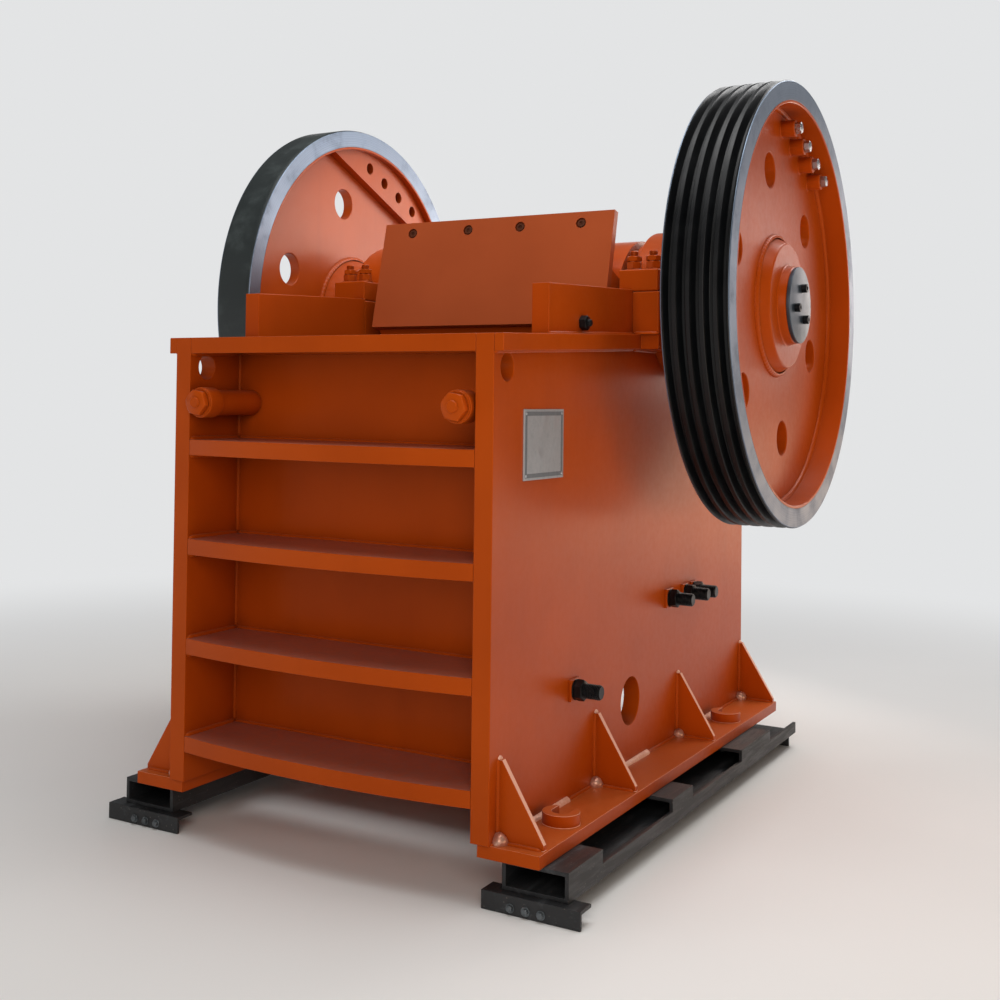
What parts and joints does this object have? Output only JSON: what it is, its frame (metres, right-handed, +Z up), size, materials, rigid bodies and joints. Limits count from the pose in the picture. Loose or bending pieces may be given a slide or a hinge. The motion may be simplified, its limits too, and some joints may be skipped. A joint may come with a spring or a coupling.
{
  "type": "jaw crusher",
  "caption": "Single-toggle jaw crusher: orange welded-plate frame with ribbed front, eccentric shaft with grooved pulley and flywheel, swing jaw, black steel skid.",
  "frame": {"origin": "centre of the bounding box at the ground, under the skid", "axes": "+Z up, +X along the shaft towards the grooved pulley, -Y towards the ribbed front wall"},
  "size_m": [2.01, 2.245, 2.494],
  "materials": {
    "orange_paint": "gloss",
    "black_rim": "gloss",
    "black_skid": "satin",
    "bare_steel": "machined",
    "manganese_steel": "matte",
    "black_bolt": "satin",
    "plate_aluminium": "satin"
  },
  "bodies": {
    "frame": {"bearing_cap_left": "orange_paint", "bearing_cap_right": "orange_paint", "bearing_left": "orange_paint", "bearing_right": "orange_paint", "cheek_plate_left": "manganese_steel", "cheek_plate_right": "manganese_steel", "fixed_jaw_plate": "manganese_steel", "foot_left": "orange_paint", "foot_right": "orange_paint", "front_bar_left": "orange_paint", "front_bar_right": "orange_paint", "front_ribs": "orange_paint", "front_top_flange": "orange_paint", "front_wall": "orange_paint", "name_plate": "plate_aluminium", "pedestal_left": "orange_paint", "pedestal_right": "orange_paint", "rear_wall": "orange_paint", "side_bolts_left": "black_bolt", "side_bolts_right": "black_bolt", "side_flange_left": "orange_paint", "side_flange_right": "orange_paint", "side_plate_left": "orange_paint", "side_plate_right": "orange_paint", "skid_member_front": "black_skid", "skid_member_rear": "black_skid", "skid_rail_left": "black_skid", "skid_rail_right": "black_skid", "toggle_plate": "orange_paint", "toggle_seat": "orange_paint", "upstand_left": "orange_paint", "upstand_right": "orange_paint"},
    "shaft": {"eccentric_shaft": "bare_steel", "flywheel_hub": "orange_paint", "flywheel_rim": "black_rim", "flywheel_web": "orange_paint", "flywheel_weight": "orange_paint", "pulley_hub": "orange_paint", "pulley_rim": "black_rim", "pulley_web": "orange_paint", "pulley_weight": "orange_paint", "shaft_end_plates": "bare_steel"},
    "swing": {"guard_plate": "orange_paint", "movable_jaw_plate": "manganese_steel", "swing_jaw": "orange_paint"}
  },
  "joints": [
    {"name": "shaft_spin", "type": "hinge", "parent": "frame", "child": "shaft", "pos_m": [-0.048, 0.2925, 1.727], "axis": [1, 0, 0], "continuous": true},
    {"name": "swing_ride", "type": "hinge", "parent": "shaft", "child": "swing", "pos_m": [-0.048, 0.28681, 1.71312], "axis": [1, 0, 0], "continuous": true}
  ],
  "couplings": [
    {"joint": "swing_ride", "follows": "shaft_spin", "ratio": -1}
  ]
}
